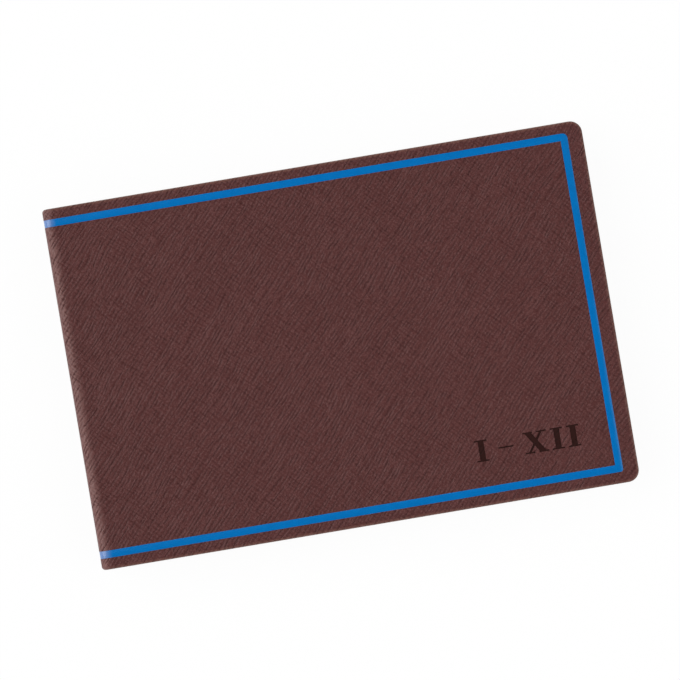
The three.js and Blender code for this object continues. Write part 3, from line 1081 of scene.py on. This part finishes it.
# The covers' placements are baked into their meshes.
for piece, slotName in ((backSkin, "leatherette"), (backBorder, "border_line")):
    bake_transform(piece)
for piece, slotName in ((frontSkin, "leatherette"), (frontBorder, "border_line")):
    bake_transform(piece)

for label, piece in sections:
    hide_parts("section_" + label)
    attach(piece, "leaves_" + label)
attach(leftNumbers, "leaves_05")
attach(rightNumbers, "leaves_06")
for piece in (headband, tailband):
    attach(piece, "spine")
print("pieces set on their bodies")


# Sizes in metres. The sky is dark overhead, brightest half-way up and dimmer again near the horizon.
stage = {"floorSize": 16.0, "floorZ": -0.0001, "floorWhite": 0.97, "shadowShare": 0.05,
         "zenith": 0.03, "darkAbove": 0.95, "bright": 0.8, "brightBelow": 0.55,
         "horizon": 0.4, "horizonBelow": 0.12, "horizonAbove": 0.5,
         "keyStrength": 2.05, "keyWidth": 60.0, "keyPlace": (-0.9, 0.27, 0.85),
         "fillStrength": 0.8, "fillWidth": 60.0, "fillPlace": (0.9, -0.35, 0.75)}


# Wide soft lamps without falloff, so that the floor stays evenly white.
def addLamp(name, strength, width, place):
    light = bpy.data.lights.new(name, "SUN")
    light.energy = strength
    light.angle = math.radians(width)
    lamp = bpy.data.objects.new(name, light)
    bpy.context.scene.collection.objects.link(lamp)
    lamp.location = place
    lamp.rotation_euler = (-Vector(place)).to_track_quat("-Z", "Y").to_euler()


def makeFloor():
    look = stage
    deselectAll()
    bpy.ops.mesh.primitive_plane_add(size=look["floorSize"], location=(0, 0, look["floorZ"]))
    floor = bpy.context.active_object
    floor.name = "floor"
    material = bpy.data.materials.new("paleFloor")
    material.use_nodes = True
    tree = material.node_tree
    tree.nodes.remove(tree.nodes["Principled BSDF"])
    matte = addNode(tree, "ShaderNodeBsdfDiffuse", {"Color": (look["floorWhite"],) * 3 + (1,)})
    glow = addNode(tree, "ShaderNodeEmission", {"Color": (1, 1, 1, 1), "Strength": 1.0})
    path = addNode(tree, "ShaderNodeLightPath").outputs
    mirrored = mathNode(tree, "MAXIMUM", path["Is Glossy Ray"], path["Is Transmission Ray"])
    seen = mathNode(tree, "MAXIMUM", path["Is Camera Ray"], mirrored)
    mix = addNode(tree, "ShaderNodeMixShader", {
        0: times(tree, seen, 1 - look["shadowShare"]), 1: matte.outputs[0], 2: glow.outputs[0]})
    feed(tree, mix.outputs[0], tree.nodes["Material Output"].inputs["Surface"])
    floor.data.materials.append(material)


def makeSky():
    look = stage
    world = bpy.data.worlds.new("studio")
    bpy.context.scene.world = world
    world.use_nodes = True
    tree = world.node_tree
    background = tree.nodes["Background"].inputs
    background["Color"].default_value = (1, 1, 1, 1)
    path = addNode(tree, "ShaderNodeLightPath").outputs
    seen = mathNode(tree, "MAXIMUM", path["Is Camera Ray"], path["Is Transmission Ray"])
    rise = splitVector(tree, addNode(tree, "ShaderNodeTexCoord").outputs["Generated"])[2]
    height = mathNode(tree, "ABSOLUTE", rise)
    overhead = rangeNode(tree, height, look["brightBelow"], look["darkAbove"], look["bright"], look["zenith"],
                         smooth=True)
    nearFloor = rangeNode(tree, height, look["horizonBelow"], look["horizonAbove"], look["horizon"], 1.0,
                          smooth=True)
    strength = mathNode(tree, "MAXIMUM", times(tree, overhead, nearFloor), seen)
    feed(tree, strength, background["Strength"])
    for name in ("key", "fill"):
        addLamp(name, look[name + "Strength"], look[name + "Width"], look[name + "Place"])


# Turn in degrees, lens and sensor in millimetres, the rest in metres.
view = {"turn": 9.56, "lens": 150.0, "sensor": 36, "nearest": 0.01, "distance": 0.777,
        "right": -0.00027, "up": 0.00141}


def makeCamera():
    look = view
    turn = math.radians(look["turn"])
    right = Vector((math.cos(turn), -math.sin(turn), 0))
    up = Vector((math.sin(turn), math.cos(turn), 0))
    camera = bpy.data.cameras.new("camera")
    camera.lens = look["lens"]
    camera.sensor_width = look["sensor"]
    camera.clip_start = look["nearest"]
    eye = bpy.data.objects.new("camera", camera)
    bpy.context.scene.collection.objects.link(eye)
    place = right * look["right"] + up * look["up"]
    eye.location = (place.x, place.y, case["thickness"] * mm + look["distance"])
    eye.rotation_euler = (0, 0, -turn)
    bpy.context.scene.camera = eye


makeFloor()
makeSky()
makeCamera()
bpy.context.scene.view_settings.view_transform = "Standard"
print("stage set")
